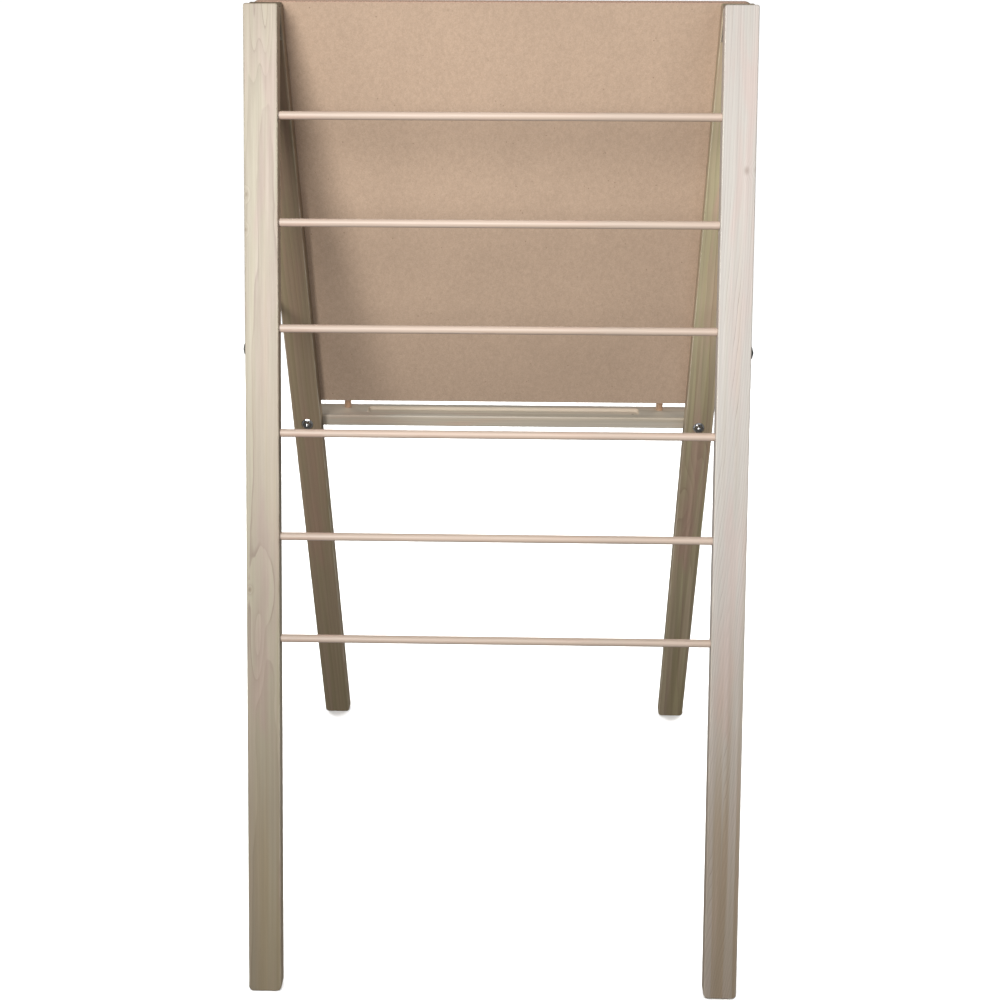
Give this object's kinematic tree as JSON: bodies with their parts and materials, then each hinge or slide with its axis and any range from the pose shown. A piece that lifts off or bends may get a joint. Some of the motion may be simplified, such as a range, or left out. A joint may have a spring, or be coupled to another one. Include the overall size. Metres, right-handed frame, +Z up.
{
  "type": "folding kids easel",
  "caption": "Folding A-frame kids easel with a drawing board and pencil ledge on one side and a drying rack of round dowels on the other.",
  "frame": {"origin": "on the floor, below the middle of the hinge line", "axes": "+Z up, +X along the hinge pins, +Y from the drying-rack frame towards the board frame"},
  "size_m": [0.5938, 0.6908, 1.1134],
  "materials": {
    "leg_wood": "satin clear-coated pale hardwood",
    "dowel_wood": "satin clear-coated birch dowel",
    "ledge_wood": "satin clear-coated pale hardwood",
    "fibreboard": "raw fine-fibred board",
    "marker_surface": "gloss white dry-wipe",
    "zinc_steel": "bright zinc plate",
    "bright_nut": "polished nickel",
    "hinge_steel": "zinc plate",
    "stay_steel": "satin black",
    "washer_nylon": "natural nylon"
  },
  "bodies": {
    "rear_frame": {"rear_leg_left": "leg_wood", "rear_leg_right": "leg_wood", "board_panel": "fibreboard", "marker_sheet": "marker_surface", "board_screws": "zinc_steel", "tray_ledge": "ledge_wood", "tray_peg_left": "dowel_wood", "tray_peg_right": "dowel_wood", "tray_bolts": "zinc_steel", "tray_bolt_washers": "zinc_steel", "tray_cap_nuts": "bright_nut", "hinge_leaf_rear_left": "hinge_steel", "hinge_leaf_rear_right": "hinge_steel", "hinge_pin_left": "hinge_steel", "hinge_pin_right": "hinge_steel", "hinge_screws_rear": "zinc_steel", "stay_screws_rear": "stay_steel", "stay_washers_rear": "washer_nylon"},
    "front_frame": {"front_leg_left": "leg_wood", "front_leg_right": "leg_wood", "drying_dowel_1": "dowel_wood", "drying_dowel_2": "dowel_wood", "drying_dowel_3": "dowel_wood", "drying_dowel_4": "dowel_wood", "drying_dowel_5": "dowel_wood", "drying_dowel_6": "dowel_wood", "hinge_leaf_front_left": "hinge_steel", "hinge_leaf_front_right": "hinge_steel", "hinge_screws_front": "zinc_steel", "stay_screws_front": "stay_steel", "stay_washers_front": "washer_nylon"},
    "front_stay_bar_left": {"stay_front_bar_left": "stay_steel", "stay_rivet_tail_left": "stay_steel"},
    "rear_stay_bar_left": {"stay_rear_bar_left": "stay_steel", "stay_rivet_head_left": "stay_steel"},
    "front_stay_bar_right": {"stay_front_bar_right": "stay_steel", "stay_rivet_tail_right": "stay_steel"},
    "rear_stay_bar_right": {"stay_rear_bar_right": "stay_steel", "stay_rivet_head_right": "stay_steel"}
  },
  "joints": [
    {"name": "easel_fold", "type": "hinge", "parent": "rear_frame", "child": "front_frame", "pos_m": [0, 0, 1.09432], "axis": [1, 0, 0], "range_deg": [0, 32]},
    {"name": "front_stay_left", "type": "hinge", "parent": "front_frame", "child": "front_stay_bar_left", "pos_m": [-0.2932, -0.11996, 0.73455], "axis": [1, 0, 0], "range_deg": [0, 66.27]},
    {"name": "rear_stay_left", "type": "hinge", "parent": "rear_frame", "child": "rear_stay_bar_left", "pos_m": [-0.2947, 0.11996, 0.73455], "axis": [1, 0, 0], "range_deg": [-66.27, 0]},
    {"name": "front_stay_right", "type": "hinge", "parent": "front_frame", "child": "front_stay_bar_right", "pos_m": [0.2932, -0.11996, 0.73455], "axis": [1, 0, 0], "range_deg": [0, 66.27]},
    {"name": "rear_stay_right", "type": "hinge", "parent": "rear_frame", "child": "rear_stay_bar_right", "pos_m": [0.2947, 0.11996, 0.73455], "axis": [1, 0, 0], "range_deg": [-66.27, 0]}
  ],
  "couplings": [
    {"joint": "front_stay_left", "follows": "easel_fold", "ratio": 2.0708},
    {"joint": "rear_stay_left", "follows": "easel_fold", "ratio": -2.0708},
    {"joint": "front_stay_right", "follows": "easel_fold", "ratio": 2.0708},
    {"joint": "rear_stay_right", "follows": "easel_fold", "ratio": -2.0708}
  ]
}
